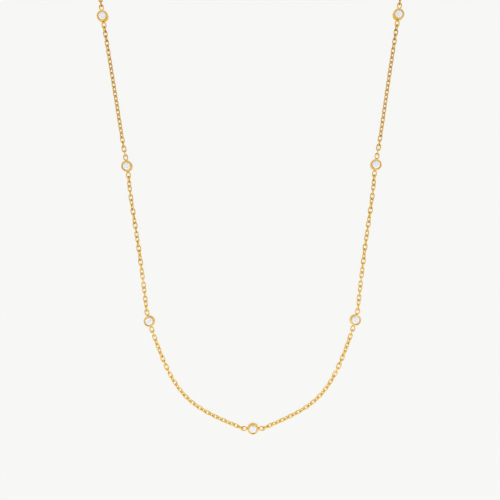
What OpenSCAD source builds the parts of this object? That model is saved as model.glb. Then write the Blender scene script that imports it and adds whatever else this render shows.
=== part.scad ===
// Station necklace lying flat: oval link chain with round bezel-set stones and a plain ring clasp.
// X runs across the necklace, Y from the front stone to the clasp, Z up from the surface below.

/* [Stones] */
// Diameter of a stone at its girdle
stone_d = 2.75; // [2.3:0.05:3.3]
// Width of a stone's table from corner to corner
table_d = 1.56; // [1.1:0.02:1.8]
// Height of the crown, from the girdle to the table
crown_h = 0.4; // [0.25:0.01:0.55]
// Depth of the pavilion, from the girdle to the point
pavilion_h = 1.2; // [0.9:0.02:1.5]
// Thickness of the girdle
girdle_t = 0.08; // [0.04:0.01:0.16]
// Clearance between a stone and its setting
stone_gap = 0.05; // [0.03:0.01:0.08]

/* [Settings] */
// Thickness of a setting's wall beside the girdle
wall_t = 0.34; // [0.28:0.02:0.5]
// Thickness of a setting's closed back
back_t = 0.3; // [0.2:0.05:0.6]
// Width of the seat that the stone rests on
seat_w = 0.2; // [0.1:0.02:0.4]
// How far the lip reaches in over the stone
lip_over = 0.07; // [0.04:0.01:0.14]
// Height of the lip above its inner edge
lip_h = 0.14; // [0.08:0.02:0.24]
// Rounding of the back's outer edge
foot_r = 0.15; // [0.05:0.01:0.2]

/* [Eyelets] */
// Length of an eyelet along the chain
eye_l = 2.1; // [1.8:0.05:3]
// Width of an eyelet
eye_w = 1.6; // [1.5:0.05:2.2]
// Wire of an eyelet
eye_wire = 0.38; // [0.3:0.02:0.44]
// Space between an eyelet's near end and the wall beside it
eye_out = 0.08; // [0.04:0.02:0.12]
// Least room between an eyelet and the link in it
eye_room = 0.2; // [0.2:0.01:0.3]
// Thickness of the solder that joins an eyelet to the wall
solder_d = 0.8; // [0.7:0.05:0.9]

/* [Chain] */
// Length of a link
link_l = 2.39; // [2.3:0.01:3.4]
// Width of a link
link_w = 1.54; // [1.5:0.02:2]
// Wire of a link
link_wire = 0.36; // [0.28:0.01:0.4]
// Least room between two links where they hold each other
link_gap = 0.14; // [0.14:0.01:0.25]

/* [Clasp] */
// Outside diameter of the clasp ring
clasp_d = 5.5; // [4.5:0.1:7]
// Wire of the clasp ring
clasp_wire = 0.8; // [0.6:0.05:1]
// Length of the clasp's knob beyond the ring
knob_l = 0.5; // [0.3:0.05:1]
// Thickness of the clasp's knob
knob_d = 0.6; // [0.4:0.05:0.8]

/* [Hidden] */
$fn = 48;
GOLD = "goldenrod";
CLEAR = "aliceblue";

// Stations up the right-hand side, from the front: centre of the stone and heading of its eyelets.
//            x      y     heading
STATIONS = [[ 0,    -90,     0],
            [32.97, -55.38, 74.2],
            [39.86,  -5.77, 81.3],
            [47.37,  42.3,  82.2]];
CLASP_AT = [0, 88.5, 180];

// Lengths of chain up the right-hand side, each from one station to the next.
// The two pulls are shares of the straight distance, turn is from link to link about the chain,
// and slack is the share by which the links stand closer together than they could.
//        heading  pull  heading  pull  turn  slack
//        out      out   in       in
SPANS = [[22.5,    0.434, 71.2,   0.54, 96,   0.05],
         [84,      0.6,   86.4,   0.2,  66,   0],
         [79.4,    0.2,   80.9,   0.6,  87,   0],
         [84,      0.45, 180,     0.42, 93,   0]];

// How far the links lean from that even turn: share of the length of chain, and lean there.
LEANS = [[[0, 0], [0.05, 7], [0.12, 19], [0.2, 3], [0.3, -9], [0.4, 47],
          [0.5, 25], [0.6, 11], [0.7, -32], [0.8, -69], [0.9, -26], [1, 0]],
         [[0, 0], [0.035, 3], [0.1, -7], [0.2, -20], [0.3, -26], [0.5, -26],
          [0.6, -14], [0.7, -25], [0.8, -20], [0.9, -25], [1, 0]],
         [[0, 0], [0.1, -11], [0.2, -38], [0.3, -19], [0.4, -17], [0.5, -4],
          [0.6, 9], [0.9, 6], [0.965, 15], [1, 0]],
         [[0, 0], [1, 0]]];
PATH_STEPS = 60;

// The plain length of chain at the back: its clearance at both ends, and its sides and rings.
plain_gap = 0.12;
PLAIN_SIDES = 8;
PLAIN_RINGS = 18;

// Facets of a stone: how many of each main kind, and where the two inner rows of corners lie.
MAINS = 8;
star_at = 0.58;
lower_at = 0.24;

// Heights and radii of a stone in its setting.
stone_r = stone_d / 2;
table_r = table_d / 2;
crown_rise = crown_h / (stone_r - table_r);
pavilion_rise = pavilion_h / stone_r;
culet_z = back_t + stone_gap;
girdle_z = culet_z + pavilion_h;
crown_z = girdle_z + girdle_t;
table_z = crown_z + crown_h;

pocket_r = stone_r + stone_gap;
setting_r = pocket_r + wall_t;
lip_r = stone_r - lip_over;
seat_r = stone_r - seat_w;
lip_round = (setting_r - lip_r) / 2;
lip_edge_z = crown_z + stone_gap + (pocket_r - lip_r) * crown_rise;
setting_h = lip_edge_z + lip_h;

// The chain's height, where a link on its edge just touches the surface.
axis_z = link_w / 2;

// Spacing of the links. A link's wire lies this far inside the eyelet's wire at each end.
max_pitch = link_l - 2 * link_wire - link_gap;
eye_hold = (eye_wire + link_wire) / 2 + eye_room;
link_half = (link_l - link_wire) / 2;
first_at = link_half - eye_hold;
eye_bend = (eye_w - eye_wire) / 2;

clasp_r = clasp_d / 2;

function toward(a) = [cos(a), sin(a)];
function place(stop) = [stop[0], stop[1]];
function facing(stop) = toward(stop[2]);

// Where a length of chain pulls on the eyelet of a round part of radius r: on the middle line
// of the eyelet's wire, round its far bend, in the direction that the chain leaves in.
function pull_point(stop, r, way, pull) =
    place(stop) + way * ((r + eye_out + eye_l - eye_w / 2) * facing(stop) + eye_bend * toward(pull));

// Route of a length of chain from one eyelet's wire to the next, as one cubic curve.
function cubic(p, t) =
    pow(1 - t, 3) * p[0] + 3 * pow(1 - t, 2) * t * p[1]
    + 3 * (1 - t) * pow(t, 2) * p[2] + pow(t, 3) * p[3];
function span_end(i) = i < len(STATIONS) - 1 ? STATIONS[i + 1] : CLASP_AT;
function end_radius(i) = i < len(STATIONS) - 1 ? setting_r : clasp_r;
function span_controls(i) =
    let (a = pull_point(STATIONS[i], setting_r, 1, SPANS[i][0]))
    let (b = pull_point(span_end(i), end_radius(i), -1, SPANS[i][2]))
    let (d = norm(b - a))
    [a, a + SPANS[i][1] * d * toward(SPANS[i][0]), b - SPANS[i][3] * d * toward(SPANS[i][2]), b];
function route(i) = [for (k = [0:PATH_STEPS]) cubic(span_controls(i), k / PATH_STEPS)];

// Distances along a route, and the point at distance s, which may lie just past an end.
function distances(pts, k = 0, s = 0) =
    k == len(pts) - 1 ? [s] : concat([s], distances(pts, k + 1, s + norm(pts[k + 1] - pts[k])));
function along(pts, marks, s) =
    let (k = max(0, min(len(pts) - 2, len([for (m = marks) if (m <= s) m]) - 1)))
    pts[k] + (s - marks[k]) / (marks[k + 1] - marks[k]) * (pts[k + 1] - pts[k]);

// Roll of link k in span i, and the height of its middle: it or a link near it rests on the surface.
function roll(i, gaps, k) =
    let (turn = 180 * round(SPANS[i][4] * (gaps + 2) / 180) / (gaps + 2))
    (k + 1) * turn + lookup((k + 1) / (gaps + 2), LEANS[i]);
function link_z(i, gaps, k) =
    link_wire / 2
    + (link_w - link_wire) / 2 * max([for (j = [k - 2:k + 2]) abs(sin(roll(i, gaps, j)))]);

// Oval ring of round wire, flat in XY and long along X.
module oval_ring(l, w, wire) {
    bend_r = (w - wire) / 2;
    straight = l - w;
    for (side = [0, 180]) rotate(side) {
        translate([straight / 2, 0]) rotate_extrude(angle = 180, start = -90)
            translate([bend_r, 0]) circle(d = wire);
        translate([-straight / 2, bend_r]) rotate([0, 90, 0]) cylinder(d = wire, h = straight);
    }
}

// Eyelet soldered to a round part of radius r, pointing along +X.
module eyelet(r) {
    translate([r + eye_out + eye_l / 2, 0, axis_z]) oval_ring(eye_l, eye_w, eye_wire);
    translate([r + eye_out, 0, axis_z]) sphere(d = solder_d);
}

// Half section of a setting: closed cup with a rounded foot and a rounded lip.
module setting_section() {
    difference() {
        union() {
            square([setting_r - foot_r, setting_h - lip_round]);
            translate([0, foot_r]) square([setting_r, setting_h - lip_round - foot_r]);
            translate([setting_r - foot_r, foot_r]) circle(r = foot_r);
            translate([setting_r - lip_round, setting_h - lip_round]) circle(r = lip_round);
        }
        polygon([
            [-1, back_t],
            [seat_r, back_t],
            [seat_r, girdle_z - stone_gap - (pocket_r - seat_r) * pavilion_rise],
            [pocket_r, girdle_z - stone_gap],
            [pocket_r, crown_z + stone_gap],
            [lip_r, lip_edge_z],
            [lip_r, setting_h + 1],
            [-1, setting_h + 1]
        ]);
        translate([-1, -1]) square([1, setting_h + 2]);
    }
}

module setting() {
    color(GOLD) {
        rotate_extrude() setting_section();
        for (side = [0, 180]) rotate(side) eyelet(setting_r);
    }
}

// Round brilliant: table, 8 stars, 8 kites, 16 upper facets, girdle, 16 lower facets, 8 mains.
module stone() {
    step = 360 / MAINS;
    half = step / 2;
    star_r = table_r + star_at * (stone_r - table_r);
    star_z = table_z - (star_r * cos(half) - table_r) * crown_rise;
    lower_r = lower_at * stone_r;
    lower_z = culet_z + lower_r * cos(half) * pavilion_rise;
    function corner(r, a, z) = [r * cos(a), r * sin(a), z];
    function spin(k, n) = (k + n) % n;
    points = concat(
        [for (k = [0:MAINS - 1]) corner(table_r, k * step, table_z)],
        [for (k = [0:MAINS - 1]) corner(star_r, k * step + half, star_z)],
        [for (k = [0:2 * MAINS - 1]) corner(stone_r, k * half, crown_z)],
        [for (k = [0:2 * MAINS - 1]) corner(stone_r, k * half, girdle_z)],
        [for (k = [0:MAINS - 1]) corner(lower_r, k * step + half, lower_z)],
        [[0, 0, culet_z]]
    );
    stars = MAINS;
    crown = 2 * MAINS;
    girdle = 4 * MAINS;
    lower = 6 * MAINS;
    culet = 7 * MAINS;
    function star(k) = stars + spin(k, MAINS);
    function top(k) = crown + spin(k, 2 * MAINS);
    function low(k) = girdle + spin(k, 2 * MAINS);
    function inner(k) = lower + spin(k, MAINS);
    faces = concat(
        [[for (k = [0:MAINS - 1]) MAINS - 1 - k]],
        [for (k = [0:MAINS - 1]) [k, spin(k + 1, MAINS), star(k)]],
        [for (k = [0:MAINS - 1]) [k, star(k), top(2 * k), star(k - 1)]],
        [for (k = [0:MAINS - 1]) [star(k), top(2 * k + 1), top(2 * k)]],
        [for (k = [0:MAINS - 1]) [star(k), top(2 * k + 2), top(2 * k + 1)]],
        [for (k = [0:2 * MAINS - 1]) [top(k), top(k + 1), low(k + 1), low(k)]],
        [for (k = [0:MAINS - 1]) [low(2 * k), low(2 * k + 1), inner(k)]],
        [for (k = [0:MAINS - 1]) [low(2 * k + 1), low(2 * k + 2), inner(k)]],
        [for (k = [0:MAINS - 1]) [low(2 * k), inner(k), culet, inner(k - 1)]]
    );
    color(CLEAR) polyhedron(points, faces);
}

// Interlocked links up span i, from one eyelet through to the next.
module chain(i) {
    pts = route(i);
    marks = distances(pts);
    linked = marks[PATH_STEPS] - 2 * first_at;
    gaps = ceil(linked / (max_pitch * (1 - SPANS[i][5])));
    pitch = linked / gaps;
    color(GOLD) for (k = [0:gaps]) {
        s = first_at + k * pitch;
        a = along(pts, marks, s - link_half);
        b = along(pts, marks, s + link_half);
        mid = (a + b) / 2;
        translate([mid.x, mid.y, link_z(i, gaps, k)])
            rotate(atan2(b.y - a.y, b.x - a.x)) rotate([roll(i, gaps, k), 0, 0])
            oval_ring(link_l, link_w, link_wire);
    }
}

// Plain round length in place of the fine links at the back, between the two eyelets of span i.
module plain_chain(i) {
    pts = route(i);
    marks = distances(pts);
    inset = eye_wire / 2 + plain_gap;
    reach = marks[PATH_STEPS] - 2 * inset;
    half_side = 180 / PLAIN_SIDES;
    rings = [for (k = [0:PLAIN_RINGS])
        let (s = inset + reach * k / PLAIN_RINGS)
        let (c = along(pts, marks, s))
        let (ahead = along(pts, marks, s + link_wire) - along(pts, marks, s - link_wire))
        let (across = [ahead.y, -ahead.x] / norm(ahead))
        for (j = [0:PLAIN_SIDES - 1])
            let (a = half_side * (2 * j + 1))
            let (out = c + across * axis_z * cos(a))
            [out.x, out.y, axis_z + axis_z * sin(a)]];
    last = PLAIN_RINGS * PLAIN_SIDES;
    function at(k, j) = k * PLAIN_SIDES + j % PLAIN_SIDES;
    faces = concat(
        [[for (j = [0:PLAIN_SIDES - 1]) PLAIN_SIDES - 1 - j]],
        [for (k = [0:PLAIN_RINGS - 1], j = [0:PLAIN_SIDES - 1]) [at(k, j), at(k, j + 1), at(k + 1, j + 1)]],
        [for (k = [0:PLAIN_RINGS - 1], j = [0:PLAIN_SIDES - 1]) [at(k, j), at(k + 1, j + 1), at(k + 1, j)]],
        [[for (j = [0:PLAIN_SIDES - 1]) last + j]]
    );
    color(GOLD) polyhedron(rings, faces);
}

// Round ring with an eyelet at each side and a knob, soldered into one piece.
module clasp() {
    mid_r = clasp_r - clasp_wire / 2;
    color(GOLD) translate(place(CLASP_AT)) {
        translate([0, 0, axis_z]) rotate_extrude() translate([mid_r, 0]) circle(d = clasp_wire);
        translate([0, 0, axis_z]) rotate([-90, 0, 0]) translate([0, 0, mid_r])
            cylinder(d = knob_d, h = clasp_wire / 2 + knob_l);
        for (side = [0, 180]) rotate(side) eyelet(clasp_r);
    }
}

module at_station(i) {
    translate(place(STATIONS[i])) rotate(STATIONS[i][2]) children();
}

module on_left() {
    mirror([1, 0, 0]) children();
}

at_station(0) setting();  // setting_front
at_station(1) setting();  // setting_right_low
at_station(2) setting();  // setting_right_mid
at_station(3) setting();  // setting_right_top
on_left() at_station(1) setting();  // setting_left_low
on_left() at_station(2) setting();  // setting_left_mid
on_left() at_station(3) setting();  // setting_left_top
at_station(0) stone();  // stone_front
at_station(1) stone();  // stone_right_low
at_station(2) stone();  // stone_right_mid
at_station(3) stone();  // stone_right_top
on_left() at_station(1) stone();  // stone_left_low
on_left() at_station(2) stone();  // stone_left_mid
on_left() at_station(3) stone();  // stone_left_top
chain(0);  // chain_right_low
chain(1);  // chain_right_mid
chain(2);  // chain_right_top
plain_chain(3);  // chain_right_back
on_left() chain(0);  // chain_left_low
on_left() chain(1);  // chain_left_mid
on_left() chain(2);  // chain_left_top
on_left() plain_chain(3);  // chain_left_back
clasp();
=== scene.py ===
# A yellow gold station necklace, lying on a pale surface and seen from straight above.
from math import atan2, ceil, cos, pi, radians, sin

import bmesh
import bpy
from mathutils import Matrix, Vector
from mathutils.geometry import interpolate_bezier


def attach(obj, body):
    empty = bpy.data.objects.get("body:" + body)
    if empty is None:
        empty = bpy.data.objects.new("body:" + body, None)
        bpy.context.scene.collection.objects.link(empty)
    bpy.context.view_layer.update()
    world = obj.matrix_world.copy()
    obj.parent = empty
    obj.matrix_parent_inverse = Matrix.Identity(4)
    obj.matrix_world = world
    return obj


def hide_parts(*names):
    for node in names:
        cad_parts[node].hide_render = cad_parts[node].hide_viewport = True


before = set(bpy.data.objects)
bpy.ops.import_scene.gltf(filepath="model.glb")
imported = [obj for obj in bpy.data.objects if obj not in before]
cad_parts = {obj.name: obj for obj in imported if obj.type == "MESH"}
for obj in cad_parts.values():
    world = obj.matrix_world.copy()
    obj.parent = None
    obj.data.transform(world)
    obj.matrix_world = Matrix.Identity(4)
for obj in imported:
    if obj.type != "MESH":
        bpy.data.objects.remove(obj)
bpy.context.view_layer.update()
mm = 0.001  # shapes are drawn in millimetres, and closeShape brings them to metres

# Camera and studio

cameraView = {
    "under": (-0.61, -32.8),  # point straight below the lens
    "height": 245,
    "focusHeight": 0.95,  # level at which widthSeen is measured
    "widthSeen": 160.1,
    "roll": -0.34,  # degrees
    "sensor": 36,
    "nearest": 10,  # nothing closer to the lens than this is drawn
}


def makeCamera():
    data = bpy.data.cameras.new("topCamera")
    data.sensor_width = cameraView["sensor"]
    distance = cameraView["height"] - cameraView["focusHeight"]
    data.lens = cameraView["sensor"] * distance / cameraView["widthSeen"]
    data.clip_start = cameraView["nearest"] * mm
    camera = bpy.data.objects.new("topCamera", data)
    camera.location = (*[side * mm for side in cameraView["under"]], cameraView["height"] * mm)
    camera.rotation_euler = (0, 0, radians(cameraView["roll"]))
    bpy.context.scene.collection.objects.link(camera)
    bpy.context.scene.camera = camera


tent = {
    # brightness of the light tent from below the horizon (0) to straight above (1)
    "levels": [(0.0, 0.95), (0.5, 1.0), (0.7, 1.32), (0.82, 1.42), (0.93, 1.12), (1.0, 0.95)],
    # brightness towards the front (-Y) and towards the back (+Y), and where one fades into the other
    "front": 1.02,
    "back": 0.95,
    "fade": 0.4,
    "backdrop": (0.93, 0.93, 0.915),
}


def clearNodes(tree):
    tree.nodes.clear()
    return tree.nodes, tree.links


def makeTent():
    world = bpy.data.worlds.new("lightTent")
    world.use_nodes = True
    nodes, links = clearNodes(world.node_tree)
    direction = nodes.new("ShaderNodeTexCoord")
    parts = nodes.new("ShaderNodeSeparateXYZ")
    height = nodes.new("ShaderNodeMapRange")
    height.inputs["From Min"].default_value = -1
    ramp = nodes.new("ShaderNodeValToRGB")
    stops = ramp.color_ramp.elements
    for position, level in tent["levels"][1:-1]:
        stops.new(position)
    for stop, (position, level) in zip(stops, tent["levels"]):
        stop.position = position
        stop.color = (level, level, level, 1)
    fade = nodes.new("ShaderNodeMapRange")
    fade.inputs["From Min"].default_value = -tent["fade"]
    fade.inputs["From Max"].default_value = tent["fade"]
    fade.inputs["To Min"].default_value = tent["front"]
    fade.inputs["To Max"].default_value = tent["back"]
    light = nodes.new("ShaderNodeBackground")
    seen = nodes.new("ShaderNodeBackground")
    seen.inputs["Color"].default_value = (*tent["backdrop"], 1)
    ray = nodes.new("ShaderNodeLightPath")
    mix = nodes.new("ShaderNodeMixShader")
    out = nodes.new("ShaderNodeOutputWorld")
    links.new(direction.outputs["Generated"], parts.inputs["Vector"])
    links.new(parts.outputs["Z"], height.inputs["Value"])
    links.new(height.outputs["Result"], ramp.inputs["Fac"])
    links.new(parts.outputs["Y"], fade.inputs["Value"])
    links.new(fade.outputs["Result"], light.inputs["Strength"])
    links.new(ramp.outputs["Color"], light.inputs["Color"])
    links.new(ray.outputs["Is Camera Ray"], mix.inputs["Fac"])
    links.new(light.outputs["Background"], mix.inputs[1])
    links.new(seen.outputs["Background"], mix.inputs[2])
    links.new(mix.outputs["Shader"], out.inputs["Surface"])
    bpy.context.scene.world = world


softBoxes = {
    # place, diameter and power in watts
    "frontBox": ((0, -270, 170), 240, 0.05),
}


def makeSoftBoxes():
    for name, (place, size, power) in softBoxes.items():
        data = bpy.data.lights.new(name, "AREA")
        data.shape = "DISK"
        data.size = size * mm
        data.energy = power
        lamp = bpy.data.objects.new(name, data)
        lamp.location = Vector(place) * mm
        lamp.rotation_euler = (-Vector(place)).to_track_quat("-Z", "Y").to_euler()
        bpy.context.scene.collection.objects.link(lamp)


darkPanels = {
    # the camera's own dark front, and a brown card over the back of the table
    "lensPanel": {"middle": (-0.6, -32.8), "height": 262, "size": (124, 124), "tint": (0.02, 0.02, 0.02)},
    "backPanel": {"middle": (0, 120), "height": 150, "size": (110, 240), "tint": (0.25, 0.13, 0.02)},
}
panelRoughness = 0.8


def makeDarkPanels():
    for name, card in darkPanels.items():
        form = bmesh.new()
        spot = Matrix.Translation((*card["middle"], card["height"])) @ Matrix.Diagonal((*card["size"], 1, 1))
        bmesh.ops.create_grid(form, x_segments=1, y_segments=1, size=0.5, matrix=spot)
        panel = closeShape(name, form)
        panel.visible_camera = False
        material, nodes, links, shader = newMaterial(f"{name}Paint")
        shader.inputs["Base Color"].default_value = (*card["tint"], 1)
        shader.inputs["Roughness"].default_value = panelRoughness
        panel.data.materials.append(material)


surface = {
    "width": 6000,
    "tint": (0.03, 0.03, 0.03),
    "glow": (0.9, 0.9, 0.885),
}


def makeSurface():
    form = bmesh.new()
    bmesh.ops.create_grid(form, x_segments=1, y_segments=1, size=surface["width"] / 2)
    floor = closeShape("floor", form)
    material, nodes, links, shader = newMaterial("paleSurface")
    shader.inputs["Base Color"].default_value = (*surface["tint"], 1)
    shader.inputs["Roughness"].default_value = 1
    shader.inputs["Specular IOR Level"].default_value = 0
    shader.inputs["Emission Color"].default_value = (*surface["glow"], 1)
    shader.inputs["Emission Strength"].default_value = 1
    floor.data.materials.append(material)


# Materials


def newMaterial(name):
    material = bpy.data.materials.new(name)
    material.use_nodes = True
    nodes, links = clearNodes(material.node_tree)
    shader = nodes.new("ShaderNodeBsdfPrincipled")
    out = nodes.new("ShaderNodeOutputMaterial")
    links.new(shader.outputs["BSDF"], out.inputs["Surface"])
    return material, nodes, links, shader


def newGroup(name, inputs, outputs):
    group = bpy.data.node_groups.new(name, "ShaderNodeTree")
    for label, kind, value in inputs:
        socket = group.interface.new_socket(label, in_out="INPUT", socket_type=kind)
        if value is not None:
            socket.default_value = value
    for label, kind in outputs:
        group.interface.new_socket(label, in_out="OUTPUT", socket_type=kind)
    return group, group.nodes.new("NodeGroupInput"), group.nodes.new("NodeGroupOutput")


wornLook = {"cloudDetail": 3, "markDetail": 2, "markTwist": 1.5}


def makeWornPolish():
    # Clouds in the plating's colour, and the fine marks that a polishing wheel leaves.
    group, given, result = newGroup(
        "wornPolish",
        [
            ("Vector", "NodeSocketVector", None),
            ("Cloud Scale", "NodeSocketFloat", None),
            ("Mark Scale", "NodeSocketFloat", None),
        ],
        [("Clouds", "NodeSocketFloat"), ("Marks", "NodeSocketFloat")],
    )
    nodes, links = group.nodes, group.links
    clouds = nodes.new("ShaderNodeTexNoise")
    clouds.inputs["Detail"].default_value = wornLook["cloudDetail"]
    marks = nodes.new("ShaderNodeTexNoise")
    marks.inputs["Detail"].default_value = wornLook["markDetail"]
    marks.inputs["Distortion"].default_value = wornLook["markTwist"]
    links.new(given.outputs["Vector"], clouds.inputs["Vector"])
    links.new(given.outputs["Cloud Scale"], clouds.inputs["Scale"])
    links.new(given.outputs["Vector"], marks.inputs["Vector"])
    links.new(given.outputs["Mark Scale"], marks.inputs["Scale"])
    links.new(clouds.outputs["Fac"], result.inputs["Clouds"])
    links.new(marks.outputs["Fac"], result.inputs["Marks"])
    return group


# shaded: the colour mixed in by the painted shade where parts meet and towards the back
goldLooks = {
    "chainGold": {
        "paler": (0.94, 0.64, 0.11),
        "deeper": (0.86, 0.54, 0.055),
        "edge": (0.96, 0.78, 0.28),
        "shaded": (0.29, 0.11, 0.002),
        "smooth": 0.10,
        "hazy": 0.26,
        "clouds": 500,
        "marks": 5200,
        "markDepth": 0.003,
    },
    "settingGold": {
        "paler": (0.87, 0.585, 0.14),
        "deeper": (0.78, 0.485, 0.085),
        "edge": (0.96, 0.84, 0.5),
        "shaded": (0.45, 0.22, 0.01),
        "smooth": 0.08,
        "hazy": 0.22,
        "clouds": 420,
        "marks": 3600,
        "markDepth": 0.004,
    },
    "claspGold": {
        "paler": (0.87, 0.56, 0.06),
        "deeper": (0.77, 0.45, 0.025),
        "edge": (0.95, 0.77, 0.32),
        "shaded": (0.45, 0.22, 0.01),
        "smooth": 0.10,
        "hazy": 0.24,
        "clouds": 320,
        "marks": 3000,
        "markDepth": 0.005,
    },
}


goldMix = {
    "low": 0.35,  # the part of each noise that is used
    "high": 0.65,
    "relief": 0.4,  # strength of the polishing marks
}


def makeGold(name, polish):
    look = goldLooks[name]
    material, nodes, links, shader = newMaterial(name)
    shader.inputs["Metallic"].default_value = 1
    shader.inputs["Specular Tint"].default_value = (*look["edge"], 1)
    place = nodes.new("ShaderNodeTexCoord")
    worn = nodes.new("ShaderNodeGroup")
    worn.node_tree = polish
    worn.inputs["Cloud Scale"].default_value = look["clouds"]
    worn.inputs["Mark Scale"].default_value = look["marks"]
    colour = nodes.new("ShaderNodeValToRGB")
    for stop, end, tint in zip(colour.color_ramp.elements, ("low", "high"), ("deeper", "paler")):
        stop.position = goldMix[end]
        stop.color = (*look[tint], 1)
    # Painted shade: the mask for where parts meet and for the back mixes the shaded colour into the base
    # colour.
    paintedShadeMask = nodes.new("ShaderNodeAttribute")
    paintedShadeMask.attribute_name = "paintedShade"
    shade = nodes.new("ShaderNodeMix")
    shade.data_type = "RGBA"
    shade.inputs["B"].default_value = (*look["shaded"], 1)
    haze = nodes.new("ShaderNodeMapRange")
    haze.inputs["From Min"].default_value = goldMix["low"]
    haze.inputs["From Max"].default_value = goldMix["high"]
    haze.inputs["To Min"].default_value = look["smooth"]
    haze.inputs["To Max"].default_value = look["hazy"]
    relief = nodes.new("ShaderNodeBump")
    relief.inputs["Strength"].default_value = goldMix["relief"]
    relief.inputs["Distance"].default_value = look["markDepth"] * mm
    links.new(place.outputs["Object"], worn.inputs["Vector"])
    links.new(worn.outputs["Clouds"], colour.inputs["Fac"])
    links.new(paintedShadeMask.outputs["Fac"], shade.inputs["Factor"])
    links.new(colour.outputs["Color"], shade.inputs["A"])
    links.new(shade.outputs["Result"], shader.inputs["Base Color"])
    links.new(worn.outputs["Marks"], haze.inputs["Value"])
    links.new(haze.outputs["Result"], shader.inputs["Roughness"])
    links.new(worn.outputs["Marks"], relief.inputs["Height"])
    links.new(relief.outputs["Normal"], shader.inputs["Normal"])
    return material


stoneLook = {
    "colour": (0.93, 0.96, 1.0),
    "index": 2.15,
    "clear": 0.24,
    "smooth": 0.0,
    "hazy": 0.06,
    "smears": 900,
    "smearRange": (0.5, 0.75),  # the part of the noise that turns into haze
}


def makeStoneMaterial():
    material, nodes, links, shader = newMaterial("clearStone")
    shader.inputs["Base Color"].default_value = (*stoneLook["colour"], 1)
    shader.inputs["IOR"].default_value = stoneLook["index"]
    shader.inputs["Transmission Weight"].default_value = stoneLook["clear"]
    place = nodes.new("ShaderNodeTexCoord")
    smears = nodes.new("ShaderNodeTexNoise")
    smears.inputs["Scale"].default_value = stoneLook["smears"]
    haze = nodes.new("ShaderNodeMapRange")
    haze.inputs["From Min"].default_value, haze.inputs["From Max"].default_value = stoneLook["smearRange"]
    haze.inputs["To Min"].default_value = stoneLook["smooth"]
    haze.inputs["To Max"].default_value = stoneLook["hazy"]
    links.new(place.outputs["Object"], smears.inputs["Vector"])
    links.new(smears.outputs["Fac"], haze.inputs["Value"])
    links.new(haze.outputs["Result"], shader.inputs["Roughness"])
    return material


# Shapes

layout = {
    # the stones up the right-hand side, from the front: centre, and heading of the eyelets
    "stations": [(0, -90, 0), (32.97, -55.38, 74.2), (39.86, -5.77, 81.3), (47.37, 42.3, 82.2)],
    "stationNames": ["front", "low", "mid", "top"],
    "clasp": (0, 88.5, 180),
    # each length of chain: heading and pull going out, heading and pull coming in, turn of a link, slack
    "spans": [
        (22.5, 0.434, 71.2, 0.54, 96, 0.05),
        (84, 0.6, 86.4, 0.2, 66, 0),
        (79.4, 0.2, 80.9, 0.6, 87, 0),
        (84, 0.45, 180, 0.42, 93, 0),
    ],
    # how far the links of each length lean from that even turn: share of the length, and degrees
    "leans": [
        [
            (0, 0), (0.05, 7), (0.12, 19), (0.2, 6), (0.3, -9), (0.5, -45),
            (0.65, -65), (0.7, -46), (0.78, -40), (0.85, -25), (0.9, -26), (1, 0),
        ],
        [
            (0, 0), (0.035, 3), (0.1, -7), (0.2, -20), (0.3, -26), (0.5, -26),
            (0.6, -14), (0.7, -25), (0.8, -20), (0.9, -25), (1, 0),
        ],
        [
            (0, 0), (0.1, -11), (0.2, -38), (0.3, -19), (0.4, -17), (0.5, -4),
            (0.6, 9), (0.9, 6), (0.965, 15), (1, 0),
        ],
        [(0, 0), (1, 0)],
    ],
    "spanNames": ["low", "mid", "top", "back"],
    "routeSteps": 60,
}

link = {"length": 2.39, "width": 1.54, "wire": 0.36, "room": 0.14, "sides": 6, "bendSteps": 5}
eyelet = {"length": 2.1, "width": 1.6, "wire": 0.38, "out": 0.08, "room": 0.2, "sides": 12, "bendSteps": 9}
setting = {
    "radius": 1.765,
    "height": 1.9,
    "back": 0.3,
    "seat": (1.175, 1.31),  # radius and height of the ledge below the stone
    "pocket": (1.425, 1.5, 1.68),  # radius, and heights of its lower and upper end
    "lip": (1.305, 1.76),  # radius and height of the lip's inner edge
    "foot": (0.15, 4),  # rounding, and steps in it
    "lipRound": (0.21, 5),
    "steps": 72,
}
claspRing = {
    "radius": 2.75,
    "wire": 0.8,
    "sides": 20,
    "steps": 72,
    "knobWidth": 0.6,
    "knobReach": 0.5,
    "knobSides": 24,
    "knobRound": (0.12, 4),
}
solder = {"deep": 0.4, "wide": 0.42, "tall": 0.32, "sides": 20, "rings": 12}
paintedShade = {"reach": 0.65, "most": 1}  # how far the painted shade where two parts meet goes along the wire
paintedBackShade = {"start": -65, "end": 45, "most": 0.33}  # the stretch of Y over which the painted shade deepens towards the back, and how much
axisHeight = link["width"] / 2
sharpEdge = 40  # degrees
same = 0.001  # points nearer than this count as level with each other
weld = 0.0005


def closeShape(name, form):
    bmesh.ops.scale(form, vec=(mm, mm, mm), verts=form.verts)
    mesh = bpy.data.meshes.new(name)
    form.to_mesh(mesh)
    form.free()
    piece = bpy.data.objects.new(name, mesh)
    bpy.context.scene.collection.objects.link(piece)
    return piece


def dress(piece, node, material):
    piece.data.shade_smooth()
    piece.data.materials.append(material)
    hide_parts(node)
    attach(piece, "root")


def onlyEdges(items):
    return [item for item in items if isinstance(item, bmesh.types.BMEdge)]


def onlyVerts(items):
    return [item for item in items if isinstance(item, bmesh.types.BMVert)]


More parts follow.
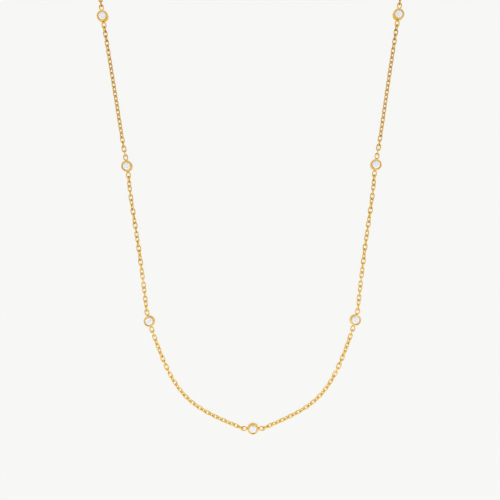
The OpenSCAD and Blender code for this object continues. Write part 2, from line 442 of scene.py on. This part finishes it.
def addOvalRing(form, ring, spot):
    # A circle of wire goes round one bend, along a straight, round the other bend and closes.
    bend = (ring["width"] - ring["wire"]) / 2
    half = (ring["length"] - ring["width"]) / 2
    start = spot @ Matrix.Translation((half, -bend, 0)) @ Matrix.Rotation(pi / 2, 4, "Y")
    circle = bmesh.ops.create_circle(form, segments=ring["sides"], radius=ring["wire"] / 2, matrix=start)
    first = list({edge for vert in circle["verts"] for edge in vert.link_edges})
    axis = spot.to_3x3() @ Vector((0, 0, 1))
    across = spot.to_3x3() @ Vector((-2 * half, 0, 0))
    edges = first
    for side in (half, -half):
        geom = list({vert for edge in edges for vert in edge.verts}) + edges
        middle = spot @ Vector((side, 0, 0))
        spun = bmesh.ops.spin(form, geom=geom, cent=middle, axis=axis, angle=pi, steps=ring["bendSteps"])
        edges = onlyEdges(spun["geom_last"])
        if side > 0:
            drawn = bmesh.ops.extrude_edge_only(form, edges=edges)["geom"]
            moved = onlyVerts(drawn)
            bmesh.ops.translate(form, vec=across, verts=moved)
            edges = [edge for edge in onlyEdges(drawn) if all(vert in moved for vert in edge.verts)]
    bmesh.ops.bridge_loops(form, edges=edges + first)


def paintShadeNearJoins(form, spots, reach, most):
    # Painted shade: how near the wire is to a place where it meets another part, darkening its colour there
    # as if it lay in shade.
    layer = form.verts.layers.float.new("paintedShade")
    for vert in form.verts:
        near = min((vert.co - spot).length for spot in spots)
        vert[layer] = most * max(0, 1 - near / reach)


def shadeTowardsBack(form):
    # Painted shade: the colour of the links turns darker towards the back (+Y).
    layer = form.verts.layers.float["paintedShade"]
    for vert in form.verts:
        share = (vert.co.y - paintedBackShade["start"]) / (paintedBackShade["end"] - paintedBackShade["start"])
        vert[layer] = min(1, vert[layer] + paintedBackShade["most"] * min(1, max(0, share)))


def toward(heading):
    return Vector((cos(radians(heading)), sin(radians(heading)), 0))


def pullPoint(stop, radius, way, pull):
    x, y, heading = stop
    reach = radius + eyelet["out"] + eyelet["length"] - eyelet["width"] / 2
    bend = (eyelet["width"] - eyelet["wire"]) / 2
    return Vector((x, y, 0)) + way * (reach * toward(heading) + bend * toward(pull))


def routeOf(span):
    stops = layout["stations"] + [layout["clasp"]]
    endRadius = claspRing["radius"] if span == len(layout["spans"]) - 1 else setting["radius"]
    headOut, pullOut, headIn, pullIn = layout["spans"][span][:4]
    start = pullPoint(stops[span], setting["radius"], 1, headOut)
    end = pullPoint(stops[span + 1], endRadius, -1, headIn)
    reach = (end - start).length
    leaving = start + pullOut * reach * toward(headOut)
    arriving = end - pullIn * reach * toward(headIn)
    return interpolate_bezier(start, leaving, arriving, end, layout["routeSteps"] + 1)


def distancesAlong(points):
    marks = [0]
    for before, after in zip(points, points[1:]):
        marks.append(marks[-1] + (after - before).length)
    return marks


def pointAt(points, marks, distance):
    step = max(0, min(len(points) - 2, sum(mark <= distance for mark in marks) - 1))
    share = (distance - marks[step]) / (marks[step + 1] - marks[step])
    return points[step].lerp(points[step + 1], share)


def leanAt(leans, share):
    for (before, leanBefore), (after, leanAfter) in zip(leans, leans[1:]):
        if share <= after:
            return leanBefore + (leanAfter - leanBefore) * (share - before) / (after - before)
    return leans[-1][1]


def rollOf(span, gaps, count):
    turn = 180 * round(layout["spans"][span][4] * (gaps + 2) / 180) / (gaps + 2)
    share = (count + 1) / (gaps + 2)
    return radians((count + 1) * turn + leanAt(layout["leans"][span], share))


def linkPlaces(span):
    points = routeOf(span)
    marks = distancesAlong(points)
    maxPitch = link["length"] - 2 * link["wire"] - link["room"]
    hold = (eyelet["wire"] + link["wire"]) / 2 + eyelet["room"]
    half = (link["length"] - link["wire"]) / 2
    firstAt = half - hold
    linked = marks[-1] - 2 * firstAt
    gaps = ceil(linked / (maxPitch * (1 - layout["spans"][span][5])))
    places = []
    for count in range(gaps + 1):
        distance = firstAt + count * linked / gaps
        tail = pointAt(points, marks, distance - half)
        head = pointAt(points, marks, distance + half)
        roll = rollOf(span, gaps, count)
        rise = max(abs(sin(rollOf(span, gaps, near))) for near in range(count - 2, count + 3))
        middle = (tail + head) / 2
        middle.z = link["wire"] / 2 + (link["width"] - link["wire"]) / 2 * rise
        heading = atan2(head.y - tail.y, head.x - tail.x)
        places.append(
            Matrix.Translation(middle) @ Matrix.Rotation(heading, 4, "Z") @ Matrix.Rotation(roll, 4, "X")
        )
    return places


def mirrorLeft(form):
    bmesh.ops.scale(form, vec=(-1, 1, 1), verts=form.verts)


def makeChains(gold):
    oneLink = bmesh.new()
    addOvalRing(oneLink, link, Matrix.Identity(4))
    tip = link["length"] / 2 - link["wire"]
    # Painted shade at both tips of each link, where it crosses the next link.
    paintShadeNearJoins(oneLink, [Vector((tip, 0, 0)), Vector((-tip, 0, 0))], paintedShade["reach"], paintedShade["most"])
    linkMesh = bpy.data.meshes.new("oneLink")
    oneLink.to_mesh(linkMesh)
    oneLink.free()
    for span, spanName in enumerate(layout["spanNames"]):
        places = linkPlaces(span)
        for side in ("right", "left"):
            form = bmesh.new()
            for place in places:
                known = len(form.verts)
                form.from_mesh(linkMesh)
                form.verts.ensure_lookup_table()
                bmesh.ops.transform(form, matrix=place, verts=form.verts[known:])
            # Painted shade, darker towards the back.
            shadeTowardsBack(form)
            if side == "left":
                mirrorLeft(form)
            bmesh.ops.recalc_face_normals(form, faces=form.faces)
            piece = closeShape(f"links_{side}_{spanName}", form)
            dress(piece, f"chain_{side}_{spanName}", gold)
        print(f"chain {spanName}: {len(places)} links on each side")
    bpy.data.meshes.remove(linkMesh)


def ringEdges(form, radius, height):
    def lies(vert):
        return abs(vert.co.xy.length - radius) < same and abs(vert.co.z - height) < same

    return [edge for edge in form.edges if all(lies(vert) for vert in edge.verts)]


def roundEdges(form, edges, rounding):
    offset, segments = rounding
    bmesh.ops.bevel(
        form,
        geom=edges,
        offset=offset,
        offset_type="OFFSET",
        affect="EDGES",
        segments=segments,
        profile=0.5,
        material=-1,
    )


def addCup(form):
    seatR, seatZ = setting["seat"]
    pocketR, pocketLow, pocketHigh = setting["pocket"]
    lipR, lipZ = setting["lip"]
    outerR, top = setting["radius"], setting["height"]
    section = [
        (0, 0), (outerR, 0), (outerR, top), (lipR, top), (lipR, lipZ), (pocketR, pocketHigh),
        (pocketR, pocketLow), (seatR, seatZ), (seatR, setting["back"]), (0, setting["back"]),
    ]
    corners = [form.verts.new((radius, 0, height)) for radius, height in section]
    lines = [form.edges.new(pair) for pair in zip(corners, corners[1:])]
    bmesh.ops.spin(
        form, geom=corners + lines, cent=(0, 0, 0), axis=(0, 0, 1), angle=2 * pi,
        steps=setting["steps"], use_merge=True,
    )
    bmesh.ops.remove_doubles(form, verts=form.verts, dist=weld)
    bmesh.ops.recalc_face_normals(form, faces=form.faces)
    roundEdges(form, ringEdges(form, outerR, 0), setting["foot"])
    roundEdges(form, ringEdges(form, outerR, top), setting["lipRound"])
    roundEdges(form, ringEdges(form, lipR, top), setting["lipRound"])


def addEyelets(form, radius):
    for angle in (0, pi):
        side = Matrix.Rotation(angle, 4, "Z")
        middle = radius + eyelet["out"] + eyelet["length"] / 2
        addOvalRing(form, eyelet, side @ Matrix.Translation((middle, 0, axisHeight)))
        size = Matrix.Diagonal((solder["deep"], solder["wide"], solder["tall"], 1))
        seat = side @ Matrix.Translation((radius + eyelet["out"], 0, axisHeight)) @ size
        bmesh.ops.create_uvsphere(
            form, u_segments=solder["sides"], v_segments=solder["rings"], radius=1, matrix=seat
        )
    # Painted shade where each eyelet meets the cup and where a link passes through its far end.
    outer = radius + eyelet["out"] + eyelet["length"] - eyelet["wire"]
    spots = [Vector((side * reach, 0, axisHeight)) for side in (1, -1) for reach in (radius, outer)]
    paintShadeNearJoins(form, spots, paintedShade["reach"], paintedShade["most"])


def makeSettings(gold):
    for (x, y, heading), stationName in zip(layout["stations"], layout["stationNames"]):
        sides = ("",) if stationName == "front" else ("right_", "left_")
        for side in sides:
            form = bmesh.new()
            addCup(form)
            addEyelets(form, setting["radius"])
            place = Matrix.Translation((x, y, 0)) @ Matrix.Rotation(radians(heading), 4, "Z")
            bmesh.ops.transform(form, matrix=place, verts=form.verts)
            if side == "left_":
                mirrorLeft(form)
            bmesh.ops.recalc_face_normals(form, faces=form.faces)
            piece = closeShape(f"bezel_{side}{stationName}", form)
            dress(piece, f"setting_{side}{stationName}", gold)
            markSharp(piece)
    print("settings: cups, lips, eyelets and solder")


def markSharp(piece):
    piece.data.set_sharp_from_angle(angle=radians(sharpEdge))


def makeClasp(gold):
    form = bmesh.new()
    middle = claspRing["radius"] - claspRing["wire"] / 2
    start = Matrix.Translation((middle, 0, axisHeight)) @ Matrix.Rotation(pi / 2, 4, "X")
    circle = bmesh.ops.create_circle(
        form, segments=claspRing["sides"], radius=claspRing["wire"] / 2, matrix=start
    )["verts"]
    edges = list({edge for vert in circle for edge in vert.link_edges})
    bmesh.ops.spin(
        form, geom=circle + edges, cent=(0, 0, 0), axis=(0, 0, 1), angle=2 * pi,
        steps=claspRing["steps"], use_merge=True,
    )
    knobLength = claspRing["wire"] / 2 + claspRing["knobReach"]
    knobMiddle = Matrix.Translation((0, middle + knobLength / 2, axisHeight))
    knob = bmesh.ops.create_cone(
        form, cap_ends=True, segments=claspRing["knobSides"], radius1=claspRing["knobWidth"] / 2,
        radius2=claspRing["knobWidth"] / 2, depth=knobLength,
        matrix=knobMiddle @ Matrix.Rotation(-pi / 2, 4, "X"),
    )["verts"]
    outer = max(vert.co.y for vert in knob)
    knobEdges = {edge for vert in knob for edge in vert.link_edges}
    rim = [edge for edge in knobEdges if all(outer - end.co.y < same for end in edge.verts)]
    roundEdges(form, rim, claspRing["knobRound"])
    addEyelets(form, claspRing["radius"])
    x, y, heading = layout["clasp"]
    bmesh.ops.translate(form, vec=(x, y, 0), verts=form.verts)
    # Painted shade, darker towards the back, as on the links.
    shadeTowardsBack(form)
    bmesh.ops.remove_doubles(form, verts=form.verts, dist=weld)
    bmesh.ops.recalc_face_normals(form, faces=form.faces)
    piece = closeShape("claspRing", form)
    dress(piece, "clasp", gold)
    markSharp(piece)
    print("clasp: ring, knob and eyelets")


def dressStones(material):
    for name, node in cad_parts.items():
        if name.startswith("stone"):
            node.data.materials.clear()
            node.data.materials.append(material)
    print("stones: clear, in their packed facets")


makeCamera()
makeTent()
makeSoftBoxes()
makeDarkPanels()
makeSurface()
bpy.context.scene.view_settings.view_transform = "Standard"
print("studio: light tent, soft boxes and surface")

wornPolish = makeWornPolish()
makeChains(makeGold("chainGold", wornPolish))
makeSettings(makeGold("settingGold", wornPolish))
makeClasp(makeGold("claspGold", wornPolish))
dressStones(makeStoneMaterial())
